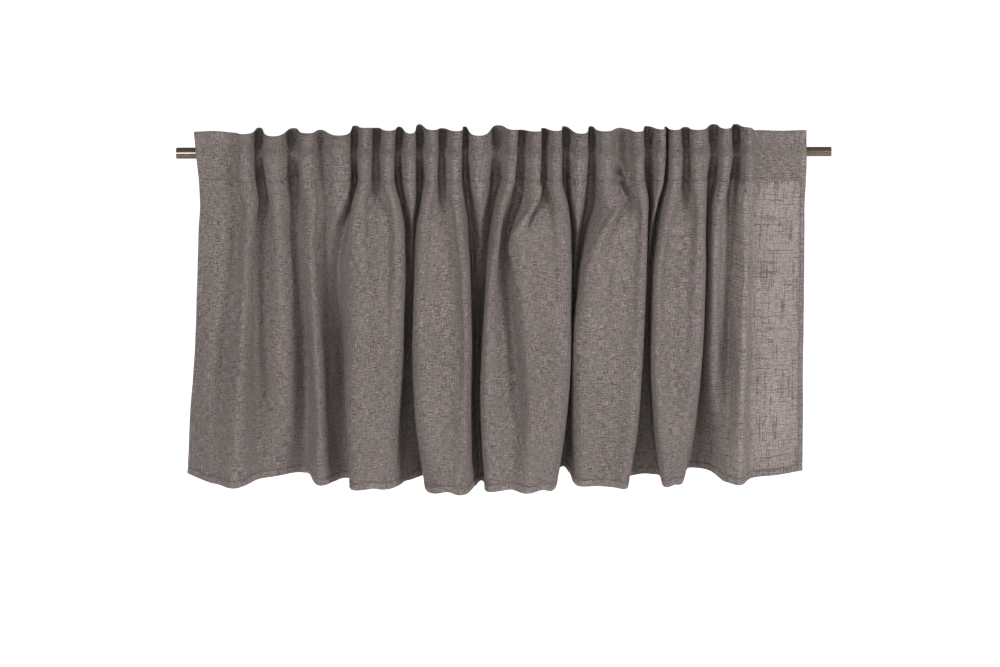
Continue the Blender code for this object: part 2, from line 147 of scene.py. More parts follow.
# A row for each fold line, from the left side edge to the right one: its name, its kind, how much its top
# edge rises, its place across at each of the levels, and how far forward it runs at knee, middle and hem.
# All in millimetres, before the spread of the level.
FOLD_LINES = (
    ("side_left", "edge", 0, (-512, -504, -503, -506, -509, -515, -523, -530), (14, 5, -8)),
    ("panel_left", "panel", 2, (-478, -478, -477, -477, -478, -487, -493, -493), (20, 22, 31)),
    ("panel_dip", "panel", -1, (-444, -443, -441, -443, -449, -462, -470, -472), (10, 18, 48)),
    ("a_crown", "ridge", -1, (-425, -424, -420, -423, -426, -432, -438, -444), (34, 50, 68)),
    ("a_dip", "valley", -1, (-407, -402, -396, -398, -405, -409, -408, -404), (6, 6, 20)),
    ("ab_fading", "proud", -4, (-380, -378, -374, -372, -370, -366, -362, -355), (32, 28, -4)),
    ("ab_valley", "valley", -2, (-350, -346, -345, -350, -344, -333, -331, -330), (2, -6, -10)),
    ("b_crown", "ridge", 0, (-324, -323, -318, -319, -317, -311, -306, -304), (34, 44, 52)),
    ("b_dip", "soft", 0, (-304, -300, -298, -301, -300, -295, -290, -282), (8, 4, 34)),
    ("bc_fading", "proud", -3, (-268, -266, -267, -282, -289, -284, -279, -268), (18, -6, 18)),
    ("bc_valley", "valley", 2, (-248, -247, -252, -264, -276, -272, -267, -257), (8, -12, 18)),
    ("c_left", "ridge", 9, (-228, -230, -240, -247, -249, -252, -252, -249), (48, 60, 78)),
    ("c_front", "opening", 0, (-211, -211, -208, -206, -206, -211, -214, -216), (43, 62, 81)),
    ("c_right", "ridge", 4, (-188, -190, -179, -171, -171, -174, -181, -188), (48, 60, 70)),
    ("cd_valley_1", "valley", 0, (-174, -176, -171, -165, -164, -167, -168, -161), (-8, -20, 33)),
    ("cd_fading", "proud", 0, (-153, -154, -152, -152, -154, -157, -156, -148), (18, -34, 17)),
    ("cd_valley_2", "valley", 4, (-141, -140, -141, -147, -149, -149, -144, -136), (2, -14, 5)),
    ("d_left", "ridge", 5, (-117, -118, -127, -136, -141, -144, -137, -124), (46, 62, 95)),
    ("d_front", "opening", -1, (-103, -104, -101, -97, -90, -88, -88, -93), (30, 52, 113)),
    ("d_right", "ridge", 3, (-76, -80, -77, -71, -64, -61, -63, -69), (48, 66, 112)),
    ("de_valley_1", "valley", 0, (-65, -64, -60, -55, -52, -51, -53, -49), (-8, -30, 70)),
    ("de_fading", "proud", -4, (-41, -41, -39, -38, -43, -45, -45, -39), (20, -40, 30)),
    ("de_valley_2", "valley", 2, (-10, -13, -18, -24, -33, -38, -38, -33), (-4, -16, 52)),
    ("e_left", "ridge", 5, (17, 11, -2, -11, -22, -29, -31, -28), (50, 66, 90)),
    ("e_dip", "opening", -4, (27, 23, 17, 8, 4, 16, 19, 11), (16, 36, 90)),
    ("e_crown", "ridge", 2, (56, 53, 46, 24, 28, 36, 43, 36), (56, 70, 103)),
    ("e_front", "opening", -1, (65, 62, 60, 57, 57, 58, 63, 62), (56, 66, 96)),
    ("e_right", "ridge", 3, (88, 87, 95, 102, 105, 103, 96, 79), (50, 66, 82)),
    ("ef_valley_1", "valley", 0, (101, 100, 105, 110, 110, 107, 102, 92), (-10, -32, -30)),
    ("ef_fading", "proud", -1, (129, 125, 123, 122, 118, 112, 108, 100), (26, -40, -28)),
    ("ef_valley_2", "valley", 0, (145, 144, 142, 133, 124, 117, 114, 110), (-6, -22, -8)),
    ("f_left", "ridge", 2, (166, 167, 174, 150, 133, 120, 119, 120), (54, 64, 58)),
    ("f_soft", "soft", 2, (190, 188, 194, 181, 170, 162, 158, 154), (56, 66, 64)),
    ("f_front", "soft", 0, (205, 205, 209, 206, 200, 194, 187, 178), (42, 60, 70)),
    ("f_right", "ridge", 1, (222, 224, 232, 231, 228, 223, 214, 200), (52, 66, 74)),
    ("fg_valley_1", "valley", 0, (238, 236, 239, 236, 234, 230, 225, 207), (-8, -18, 11)),
    ("fg_fading", "ridge", 5, (262, 258, 251, 244, 240, 236, 234, 232), (20, -24, 2)),
    ("fg_valley_2", "valley", -1, (269, 265, 258, 251, 246, 242, 245, 255), (-4, -16, 4)),
    ("g_left", "ridge", 4, (282, 280, 273, 261, 252, 248, 253, 266), (48, 58, 64)),
    ("g_front", "opening", 0, (302, 302, 301, 292, 281, 276, 281, 281), (32, 50, 60)),
    ("g_right", "ridge", 4, (320, 320, 325, 327, 326, 321, 310, 293), (46, 56, 50)),
    ("gh_valley", "valley", 3, (350, 346, 340, 335, 332, 327, 324, 310), (-4, -16, -28)),
    ("h_left", "ridge", 6, (366, 362, 355, 349, 347, 343, 345, 345), (38, 26, -9)),
    ("h_dip", "valley", 3, (386, 381, 378, 376, 374, 374, 372, 368), (2, 0, 48)),
    ("h_crown", "ridge", 8, (403, 403, 398, 399, 399, 394, 391, 388), (36, 44, 57)),
    ("h_side", "panel", 1, (416, 417, 417, 416, 414, 412, 411, 411), (22, 20, 21)),
    ("panel_right", "panel", 0, (459, 459, 457, 457, 455, 455, 454, 454), (22, 16, 8)),
    ("side_right", "edge", 0, (500, 499, 498, 498, 498, 498, 498, 499), (14, 4, -12)),
)

# Long soft waves that keep the hanging cloth from being even: the first column says how many ripples run
# across the cloth, the second how many down it, then the height of a wave and its phase in turns.
WAVES = (
    (9, 1.3, 1.1 * MM, 0.10),
    (17, 2.2, 0.8 * MM, 0.37),
    (31, 3.1, 0.5 * MM, 0.71),
    (53, 5.3, 0.28 * MM, 0.22),
    (71, 9.7, 0.18 * MM, 0.55),
)

# How far in turns the waves sway over the width of the cloth, how often, how much the phase shifts the
# sway, how the waves slant, and the drop over which they start below the seam.
SWAY = 0.35
SWAY_RATE = 7
SWAY_SHIFT = 9
WAVE_SLANT = 0.4
WAVES_START_OVER = 60 * MM

# Soft troughs and ridges between the fold lines, most of them hanging from the seam. A row for each: its
# place across where it starts and where it ends, counted in fold lines; the heights of both; how deep it is
# and how wide to each side. Heights, depths and widths are in millimetres. A ridge has a depth below zero.
CREASES = (
    ("a_flank", 3.65, 3.75, -45, -420, 6.0, 7),
    ("b_flank", 7.6, 7.7, -45, -380, 5.1, 7),
    ("c_left_dip", 11.55, 11.6, -50, -330, 7.6, 5),
    ("c_middle", 12.0, 12.1, -60, -400, -5.1, 7),
    ("c_right_dip", 12.5, 12.45, -50, -350, 10.2, 5),
    ("d_left_dip", 17.4, 17.35, -50, -300, 6.8, 5),
    ("d_right_dip", 18.5, 18.5, -60, -420, 6.8, 6),
    ("e_left_dip", 23.5, 23.6, -60, -300, 5.1, 6),
    ("e_front_dip", 25.5, 25.6, -90, -420, 5.1, 8),
    ("e_right_dip", 26.45, 26.5, -60, -260, 8.5, 7),
    ("f_front_dip", 32.5, 32.4, -90, -450, 6.0, 9),
    ("f_right_dip", 33.5, 33.5, -60, -300, 5.1, 7),
    ("g_left_dip", 38.5, 38.45, -50, -330, 6.8, 5),
    ("g_right_dip", 39.5, 39.5, -55, -420, 6.0, 5),
    ("h_flank", 42.5, 42.5, -60, -420, 5.1, 5),
    ("e_elbow_shadow", 24.25, 24.05, -48, -215, 9.0, 7),
    ("e_elbow", 25.3, 24.65, -44, -170, -8.0, 6),
    ("e_elbow_foot", 24.6, 24.85, -120, -230, -7.0, 6),
    ("e_under_elbow", 25.75, 25.1, -66, -150, 7.0, 7),
    ("f_elbow", 31.75, 31.05, -46, -195, -8.0, 7),
    ("f_under_elbow", 32.35, 31.6, -74, -180, 11.0, 8),
    ("f_pinch", 31.6, 33.65, -12, -92, 10.0, 6),
    ("f_pinch_edge", 32.1, 34.0, -8, -88, -6.0, 5),
    ("h_pinch", 44.55, 44.05, -34, -92, 7.0, 5),
    ("h_side_fold", 45.2, 45.3, -60, -480, 3.5, 8),
)

# A lift below 1 makes a crease deepest above its middle, here a third of the way down, and a bluntness
# below 1 keeps it deep for longer.
CREASE_LIFT = 0.6
CREASE_BLUNTNESS = 0.8

# The thread's stitches. A stitch stands out of the cloth by a share of its radius, and those of a side hem
# lie between two columns, at a share of the way from the outer one.
STITCH_PITCH = 2.8 * MM
STITCH_LENGTH = 2.0 * MM
STITCH_RADIUS = 0.42 * MM
STITCH_RISE = 0.4
STITCH_SIDES = 5
STITCHES_IN_A_LOT = 40
SIDE_STITCH_SHARE = 0.7

# The troughs that the stitches draw in, and the puckers beside the seam. The drifts say how far, in
# radians, the puckers stray from their pitch and how fast along the seam.
SEAM_TROUGH = 1.4 * MM
HEM_TROUGH = SEAM_TROUGH * 0.8
SEAM_TROUGH_WIDTH = 2.6 * MM
PUCKER_HEIGHT = 0.45 * MM
PUCKER_REACH = 9 * MM
PUCKER_PITCH = 7.5 * MM
PUCKER_DRIFTS = ((1.7, 31), (1.1, 83))

# The noises of the weave: how often each repeats in a metre across and down, its seed and its detail.
WEAVE = {
    "grain": (620, 620, 1.0, 1.0),
    "warp": (560, 75, 5.0, 2.0),
    "weft": (95, 560, 9.0, 2.0),
    "warp_slub": (340, 14, 13.0, 1.0),
    "weft_slub": (14, 340, 17.0, 1.0),
    "cloud": (9, 7, 21.0, 2.0),
    "patches": (45, 28, 33.0, 2.0),
}
SLUB_EDGES = (0.57, 0.63)
PATCH_EDGES = (0.40, 0.62)
PATCH_SHARE = 0.30

# How much each noise lightens the yarns, how much slubs darken them, and the shades of the two yarns.
SHADE_WEIGHTS = {"grain": 1.7, "warp": 0.8, "weft": 1.3, "cloud": 0.18}
SLUB_DARKENING = 0.12
YARN_SHADES = (0.10, 0.90)

# How much each part of the weave adds to its relief.
YARN_RELIEF = 0.5
GRAIN_RELIEF = 1.2
THREAD_RELIEF = 0.9
SLUB_RELIEF = 0.8

# How much of the light goes through the cloth, and how much less does at slubs and hems. A hem and its
# turned edge lie within two hem widths of the cut edge.
THINNESS = 0.36
PALE_YARN_THINNESS = 0.12
SLUB_DENSITY = 0.24
HEM_DENSITY = 0.12
HEM_WIDTHS = 2
HEM_BLUR = 0.1

# How finely the steel's drawn lines and its wear repeat, and its deeper tone as shares of its colour.
DRAWN_LINES = (6.0, 900.0, 900.0)
WEAR_SCALE = 60.0
DEEPER_TONE = (0.80, 0.78, 0.74)

# The floor, with the stretch behind the rod over which it starts to shine.
FLOOR_HALF_WIDTH = 30
FLOOR_SHINE = (0.05, 0.65)

# A row for each light: its name, its place, what it faces, its size, its spread in degrees and the studio
# setting with its power.
CLOTH_MIDDLE = (0, 0, -0.25)
RIGHT_PANEL = (0.46, 0.0, -0.30)
LIGHTS = (
    ("right_softbox", (2.75, -2.35, 0.35), CLOTH_MIDDLE, (1.1, 1.4), 180, "key_power"),
    ("left_softbox", (-2.5, -2.6, 0.75), CLOTH_MIDDLE, (1.1, 1.4), 180, "fill_power"),
    ("front_softbox", (-0.3, -4.6, 1.1), CLOTH_MIDDLE, (3.8, 1.0), 180, "front_power"),
    ("window_softbox", (0.52, 0.8, -0.30), RIGHT_PANEL, (0.06, 0.6), 17, "window_power"),
)

# The camera: its place, how far it looks down and rolls in degrees, and its lens in millimetres.
CAMERA_PLACE = (-0.0038, -4.0, 0.95)
CAMERA_DOWN = 17.55
CAMERA_ROLL = 0.15
CAMERA_LENS = 88.97


class Value:
    """A number from a shader node, so that sums of such numbers can be written as plain expressions."""

    def __init__(self, sheet, socket):
        self.sheet = sheet
        self.socket = socket

    def _with(self, operation, *values):
        return self.sheet.node("ShaderNodeMath", {"operation": operation}, dict(enumerate(values)))

    def __add__(self, other):
        return self._with("ADD", self, other)

    def __radd__(self, other):
        return self._with("ADD", other, self)

    def __sub__(self, other):
        return self._with("SUBTRACT", self, other)

    def __rsub__(self, other):
        return self._with("SUBTRACT", other, self)

    def __mul__(self, other):
        return self._with("MULTIPLY", self, other)

    def __rmul__(self, other):
        return self._with("MULTIPLY", other, self)

    def wave(self):
        return self._with("SINE", self)

    def kept_between(self, low, high):
        """The number as a share of the way from low to high, from 0 to 1 and eased at both ends."""
        return self.sheet.node(
            "ShaderNodeMapRange", {"interpolation_type": "SMOOTHSTEP"}, {"Value": self, 1: low, 2: high}
        )


class NodeSheet:
    """The node tree of a new material, filled by naming each node's type, settings and inputs."""

    def __init__(self, name):
        self.material = bpy.data.materials.new(name)
        self.material.use_nodes = True
        self.tree = self.material.node_tree
        self.tree.nodes.clear()

    def node(self, kind, settings=None, inputs=None, output=0):
        made = self.tree.nodes.new(kind)
        for name, value in (settings or {}).items():
            setattr(made, name, value)
        for key, value in (inputs or {}).items():
            if isinstance(value, Value):
                self.tree.links.new(value.socket, made.inputs[key])
            else:
                made.inputs[key].default_value = value
        return Value(self, made.outputs[output]) if made.outputs else None

    def noise(self, across, down, seed, detail):
        place = self.node("ShaderNodeCombineXYZ", inputs={"X": across, "Y": down, "Z": seed})
        inputs = {"Vector": place, "Scale": 1.0, "Detail": detail, "Roughness": 0.55}
        return self.node("ShaderNodeTexNoise", inputs=inputs)

    def object_place(self):
        """The place on the object, which is the fourth output of the texture coordinates."""
        return self.node("ShaderNodeTexCoord", output=3)

    def mix(self, share, first, second):
        """A mix of two colours, whose sockets come after those for numbers and vectors."""
        return self.node("ShaderNodeMix", {"data_type": "RGBA"}, {0: share, 6: first, 7: second}, output=2)

    def finish(self, surface):
        self.node("ShaderNodeOutputMaterial", inputs={"Surface": surface})
        return self.material


def cloth_material(settings, width):
    """Melange weave: dark and pale yarns, slubs both ways that show against the light, and denser hems."""
    sheet = NodeSheet("melange_cloth")
    place = {"Vector": sheet.node("ShaderNodeUVMap", {"uv_map": "cloth"})}
    across = sheet.node("ShaderNodeSeparateXYZ", inputs=place, output=0)
    down = sheet.node("ShaderNodeSeparateXYZ", inputs=place, output=1)
    noise = {
        name: sheet.noise(across * often_across, down * often_down, seed, detail)
        for name, (often_across, often_down, seed, detail) in WEAVE.items()
    }
    slubs = noise["warp_slub"].kept_between(*SLUB_EDGES) + noise["weft_slub"].kept_between(*SLUB_EDGES)

    shade = 0.5
    for name, weight in SHADE_WEIGHTS.items():
        shade = shade + (noise[name] - 0.5) * weight
    shade = shade - slubs * SLUB_DARKENING
    yarns = (*settings.dark_yarn, 1), (*settings.pale_yarn, 1)
    colour = sheet.mix(shade.kept_between(*YARN_SHADES), *yarns)
    patches = noise["patches"].kept_between(*PATCH_EDGES)
    colour = sheet.mix(patches * PATCH_SHARE, colour, (*settings.olive_yarn, 1))

    yarn_turn = 2 * math.pi / settings.yarn_pitch
    relief = (across * yarn_turn).wave() * (down * yarn_turn).wave() * YARN_RELIEF
    relief = relief + (noise["grain"] - 0.5) * GRAIN_RELIEF
    relief = relief + (noise["warp"] + noise["weft"]) * THREAD_RELIEF + slubs * SLUB_RELIEF
    bump = sheet.node(
        "ShaderNodeBump", inputs={"Strength": 0.55, "Distance": 0.35 * MM, "Height": relief}
    )
    surface = sheet.node(
        "ShaderNodeBsdfPrincipled",
        inputs={
            "Base Color": colour,
            "Roughness": 0.95,
            "Specular IOR Level": 0.15,
            "Sheen Weight": 0.10,
            "Sheen Roughness": 0.5,
            "Normal": bump,
        },
    )
    through = sheet.node("ShaderNodeBsdfTranslucent", inputs={"Color": (*settings.glow, 1)})
    within, beyond = HEM_WIDTHS - HEM_BLUR, HEM_WIDTHS + HEM_BLUR
    from_middle = (across - width / 2) * (across - width / 2)
    side_edges = (width / 2 - SIDE_HEM * beyond) ** 2, (width / 2 - SIDE_HEM * within) ** 2
    side_hem = from_middle.kept_between(*side_edges)
    low_hem = 1.0 - down.kept_between(BOTTOM_HEM * within, BOTTOM_HEM * beyond)
    thin = THINNESS + (shade - 0.5) * PALE_YARN_THINNESS - slubs * SLUB_DENSITY
    thin = thin - (side_hem + low_hem) * HEM_DENSITY
    thin = thin.kept_between(0.0, 1.0)
    return sheet.finish(sheet.node("ShaderNodeMixShader", inputs={0: thin, 1: surface, 2: through}))


def thread_material(settings):
    """Twisted sewing thread, nearly as dark as the dark yarns."""
    sheet = NodeSheet("sewing_thread")
    place = sheet.object_place()
    twist = sheet.node("ShaderNodeTexNoise", inputs={"Vector": place, "Scale": 900.0, "Detail": 2.0})
    colour = sheet.mix(twist * 0.1, (*settings.dark_yarn, 1), (*settings.pale_yarn, 1))
    bump = sheet.node("ShaderNodeBump", inputs={"Strength": 0.4, "Distance": 0.1 * MM, "Height": twist})
    inputs = {"Base Color": colour, "Roughness": 0.8, "Normal": bump}
    return sheet.finish(sheet.node("ShaderNodeBsdfPrincipled", inputs=inputs))


def rod_material(settings):
    """Drawn steel tube: smooth and dark, with faint lines along its length."""
    sheet = NodeSheet("drawn_steel")
    place = sheet.object_place()
    stretched = sheet.node(
        "ShaderNodeMapping", {"vector_type": "POINT"}, {"Vector": place, "Scale": DRAWN_LINES}
    )
    lines = sheet.node("ShaderNodeTexNoise", inputs={"Vector": stretched, "Scale": 1.0, "Detail": 3.0})
    wear = sheet.node("ShaderNodeTexNoise", inputs={"Vector": place, "Scale": WEAR_SCALE, "Detail": 4.0})
    deeper = [part * share for part, share in zip(settings.steel, DEEPER_TONE)]
    bump = sheet.node("ShaderNodeBump", inputs={"Strength": 0.08, "Distance": 0.05 * MM, "Height": lines})
    inputs = {
        "Base Color": sheet.mix(lines, (*deeper, 1), (*settings.steel, 1)),
        "Metallic": 0.5,
        "Roughness": settings.roughness + (wear - 0.5) * 0.06 + (lines - 0.5) * 0.05,
        "Normal": bump,
    }
    return sheet.finish(sheet.node("ShaderNodeBsdfPrincipled", inputs=inputs))


def floor_material(settings):
    """A pale floor that shines softly where it runs on behind the valance."""
    sheet = NodeSheet("pale_floor")
    place = {"Vector": sheet.object_place()}
    behind = sheet.node("ShaderNodeSeparateXYZ", inputs=place, output=1).kept_between(*FLOOR_SHINE)
    inputs = {
        "Base Color": (*settings.floor, 1),
        "Roughness": 0.9,
        "Emission Color": sheet.mix(behind, (0, 0, 0, 1), (1, 1, 1, 1)),
        "Emission Strength": 1.0,
    }
    return sheet.finish(sheet.node("ShaderNodeBsdfPrincipled", inputs=inputs))


def eased(share):
    """A share from 0 to 1, slowed down at both ends."""
    return share * share * (3 - 2 * share)


def hermite(t, start, end, start_pull, end_pull):
    """The point at the share t of the way along the curve that leaves start and reaches end."""
    return (
        (2 * t**3 - 3 * t**2 + 1) * start
        + (t**3 - 2 * t**2 + t) * start_pull
        + (3 * t**2 - 2 * t**3) * end
        + (t**3 - t**2) * end_pull
    )


def smooth_through(stations, values, wanted):
    """Values at the wanted stations, on a curve through the given ones that never overshoots them."""
    stations, values = np.array(stations, float), np.array(values, float)
    if stations[0] > stations[-1]:
        stations, values = stations[::-1], values[::-1]
    steps = np.diff(stations)
    slopes = np.diff(values) / steps
    tangents = np.zeros(len(values))
    tangents[0], tangents[-1] = slopes[0], slopes[-1]
    for i in range(1, len(values) - 1):
        if slopes[i - 1] * slopes[i] > 0:
            tangents[i] = 2 * slopes[i - 1] * slopes[i] / (slopes[i - 1] + slopes[i])
    wanted = np.clip(np.array(wanted, float), stations[0], stations[-1])
    i = np.clip(np.searchsorted(stations, wanted) - 1, 0, len(steps) - 1)
    t = (wanted - stations[i]) / steps[i]
    return hermite(t, values[i], values[i + 1], steps[i] * tangents[i], steps[i] * tangents[i + 1])


def lengths_to(points):
    """The length along a line of points, up to each of them."""
    return np.concatenate([[0], np.cumsum(np.linalg.norm(np.diff(points, axis=0), axis=1))])


def lengths_along(grid, axis):
    """The average length of cloth up to each row or column."""
    steps = np.linalg.norm(np.diff(grid, axis=axis), axis=2)
    return np.concatenate([[0], np.cumsum(steps.mean(1 - axis))])


def points_at(wanted, along, points):
    """What a line of points or directions holds at the wanted lengths along it."""
    return np.array([[np.interp(at, along, points[:, axis]) for axis in range(3)] for at in wanted])


def line_across(line, heights):
    """How far across a fold line lies at each height."""
    placed = [place * MM * spread for place, (_, _, spread) in zip(line[3], LEVELS)]
    return smooth_through([height for _, height, _ in LEVELS], placed, heights)


def line_forward(line, heights):
    """How far in front of the rod's axis a fold line's front layer lies at each height."""
    top, rod, seam = (value * MM for value in KINDS[line[1]][:3])
    foot = (top + rod) / 2 - FOOT_DRAWN_IN
    knee, middle, hem = (value * MM for value in line[4])
    stations = [TOP_EDGE, FRILL_FOOT, 0, SEAM, KNEE, MIDDLE, HEM]
    return smooth_through(stations, [top, foot, rod, seam, knee, middle, hem], heights)


def columns_between():
    """How many columns lie between each fold line and the next, from the widest gap between them."""
    counts = []
    heights = [height for _, height, _ in LEVELS[1:]]
    for left, right in zip(FOLD_LINES, FOLD_LINES[1:]):
        across = line_across(right, heights) - line_across(left, heights)
        forward = line_forward(right, heights) - line_forward(left, heights)
        columns = math.ceil(max(np.hypot(across, forward)) / COLUMN_WIDTH)
        counts.append(min(MOST_COLUMNS, max(FEWEST_COLUMNS, columns)))
    return counts


def section(height, counts):
    """A rounded curve through the fold lines at one height, as (across, forward, up) rows."""
    points = np.array(
        [(line_across(line, [height])[0], line_forward(line, [height])[0], height) for line in FOLD_LINES]
    )
    gaps = np.linalg.norm(np.diff(points, axis=0), axis=1) ** 0.5
    knots = np.concatenate([[0], np.cumsum(gaps)])
    heading, skirt = np.array([KINDS[line[1]][3:] for line in FOLD_LINES]).T
    roundness = heading + (skirt - heading) * eased(np.clip((SEAM - height) / (SEAM - KNEE), 0, 1))
    tangents = np.gradient(points, knots, axis=0) * roundness[:, None]
    curve = [points[0]]
    for i, count in enumerate(counts):
        pulls = gaps[i] * tangents[i : i + 2]
        for step in range(1, count + 1):
            curve.append(hermite(step / count, points[i], points[i + 1], *pulls))
    return np.array(curve)


def eased_between(values, counts):
    """Values at every column, eased between the fold lines' own."""
    at_columns = [values[0]]
    for i, count in enumerate(counts):
        for step in range(1, count + 1):
            at_columns.append(values[i] + (values[i + 1] - values[i]) * eased(step / count))
    return np.array(at_columns)


def least_distance(across):
    """How near the rod's axis the middle of the cloth may come."""
    radius = THICK_RADIUS if across < ROD_JOIN_X + THICK_RADIUS else THIN_RADIUS
    return radius + SEAT_GAP + CLOTH_THICKNESS / 2


def clear_of_rod(point):
    """The point (across, forward, up), moved straight out from the rod until the cloth there is clear."""
    least = least_distance(point[0])
    out = math.hypot(point[1], point[2])
    if out >= least:
        return point
    return np.array([point[0], point[1] * least / out, point[2] * least / out])


def row_heights():
    """The heights of the front layer's rows, from the top edge down."""
    hanging = np.linspace(FIRST_HANGING_ROW, LAST_HANGING_ROW, HANGING_ROW_COUNT)
    return [height * MM for height in (*HEADING_ROWS, *SEWN_ROWS, *hanging, *HEM_ROWS)]


def nearest_row(heights, wanted):
    """The row whose height is nearest to the wanted one."""
    return min(range(len(heights)), key=lambda row: abs(heights[row] - wanted))


def front_layer(heights, counts):
    """The front layer of the cloth, a row for each height. A slanting fold hangs a little shorter."""
    rows = []
    seam_forward = section(SEAM, counts)[:, 1]
    rises = eased_between([line[2] * MM for line in FOLD_LINES], counts)
    for height in heights:
        row = section(height, counts)
        if height < SEAM - MM:
            row[:, 2] += (row[:, 1] - seam_forward) ** 2 / (2 * (SEAM - height))
        if height > FRILL_FOOT:
            row[:, 2] += rises * (height - FRILL_FOOT) / (TOP_EDGE - FRILL_FOOT)
        rows.append([clear_of_rod(point) for point in row])
    return np.array(rows)


def back_layer(front, heights, gaps):
    """The flap behind the rod, from the top edge down to its own edge below the seam."""
    top, at_foot, at_rod, at_seam = (
        front[heights.index(height)] for height in (TOP_EDGE, FRILL_FOOT, ROD_ROW, SEAM)
    )
    share = (RIDGE_FORWARD - at_rod[:, 1]) / (RIDGE_FORWARD - VALLEY_FORWARD)
    behind = -(BACK_AT_RIDGE + (BACK_AT_VALLEY - BACK_AT_RIDGE) * np.clip(share, 0, 1))
    columns = []
    for i, gap in enumerate(gaps):
        foot, seam = (point - (0, gap, 0) for point in (at_foot[i], at_seam[i]))
        beside = (at_rod[i][0], behind[i], 0)
        edge = seam - (0, 0, FLAP_BELOW_SEAM)
        columns.append(laid_over_rod([top[i] - (0, gap, 0), foot, beside, seam, edge]))
    return np.array(columns).transpose(1, 0, 2)


def laid_over_rod(path):
    """A path through the given points, kept clear of the rod, softened, and cut into even rows."""
    path = np.array(path)
    along = lengths_to(path)
    route = points_at(np.linspace(0, along[-1], ROUTE_STEPS), along, path)
    for _ in range(ROUTE_SOFTENINGS):
        route = np.array([clear_of_rod(point) for point in route])
        route[1:-1] = (route[:-2] + 2 * route[1:-1] + route[2:]) / 4
    route = np.array([clear_of_rod(point) for point in route])
    along = lengths_to(route)
    return points_at(np.linspace(0, along[-1], BACK_ROWS), along, route)


def surface_normals(grid):
    """Unit normals of a grid of points, on the side that faces the room where the rows run upwards."""
    normals = np.cross(np.gradient(grid, axis=1), np.gradient(grid, axis=0))
    return normals / np.maximum(np.linalg.norm(normals, axis=2, keepdims=True), 1e-9)


def add_waves(grid, lengths_across, lengths_down):
    """Soft uneven ripples over the hanging part, nothing where the cloth is sewn or on the rod."""
    across = (lengths_across / lengths_across[-1])[None, :]
    down = (lengths_down / lengths_down[-1])[:, None]
    turn = 2 * math.pi
    ripple = np.zeros(grid.shape[:2])
    for many, few, height, phase in WAVES:
        bend = np.sin(turn * (few * down + SWAY * np.sin(SWAY_RATE * across + SWAY_SHIFT * phase)))
        ripple += height * bend * np.sin(turn * (many * across + phase + WAVE_SLANT * down))
    below = np.clip((SEAM - grid[:, :, 2]) / WAVES_START_OVER, 0, 1)
    return grid + surface_normals(grid) * (ripple * eased(below))[:, :, None]


def lengths_from(row, centre):
    """The length along a row of points from a place counted in columns."""
    along = lengths_to(row)
    return along - np.interp(centre, np.arange(len(along)), along)


def add_creases(grid, heights, counts):
    """The listed troughs and ridges, eased in at their upper ends and out at their lower ones."""
    places = np.concatenate([[0], *(i + np.arange(1, count + 1) / count for i, count in enumerate(counts))])
    columns = np.arange(len(places))
    levels = np.array(heights) / MM
    push = np.zeros(grid.shape[:2])
    for _, start, end, top, bottom, depth, width in CREASES:
        share = np.clip((top - levels) / (top - bottom), 0, 1)
        strengths = np.sin(math.pi * share**CREASE_LIFT) ** CREASE_BLUNTNESS
        centres = np.interp(start + (end - start) * share, places, columns)
        for row, (centre, strength) in enumerate(zip(centres, strengths)):
            if strength > 0:
                across = lengths_from(grid[row], centre)
                push[row] -= depth * MM * strength * np.exp(-((across / (width * MM)) ** 2))
    return grid + surface_normals(grid) * push[:, :, None]


def add_sewing(grid, heights, lengths_across):
    """The troughs that the stitch lines draw into the cloth, and the small puckers beside the seam."""
    push = np.zeros(grid.shape[:2])
    levels = np.array(heights)
    for height, depth in ((SEAM, SEAM_TROUGH), (HEM + BOTTOM_HEM, HEM_TROUGH)):
        push -= (depth * np.exp(-(((levels - height) / SEAM_TROUGH_WIDTH) ** 2)))[:, None]
    near = np.exp(-(((levels - SEAM) / PUCKER_REACH) ** 2))[:, None]
    drift = sum(far * np.sin(lengths_across * fast) for far, fast in PUCKER_DRIFTS)
    push += near * PUCKER_HEIGHT * np.sin(2 * math.pi * lengths_across / PUCKER_PITCH + drift)[None, :]
    return grid + surface_normals(grid) * push[:, :, None]


def side_turned(grid, from_end):
    """The columns of a side hem, turned back onto the wrong side of the cloth."""
    edge_column, inner_column = (-1, -1 - SIDE_HEM_COLUMNS) if from_end else (0, SIDE_HEM_COLUMNS)
    edge = grid[:, edge_column]
    wrong_side = -surface_normals(grid)[:, edge_column]
    inward = grid[:, inner_column] - edge
    inward /= np.linalg.norm(inward, axis=1, keepdims=True)
    turned = [edge + inward * reach + wrong_side * FOLD_GAP for reach in SIDE_HEM_REACHES]
    return np.array(turned).transpose(1, 0, 2)


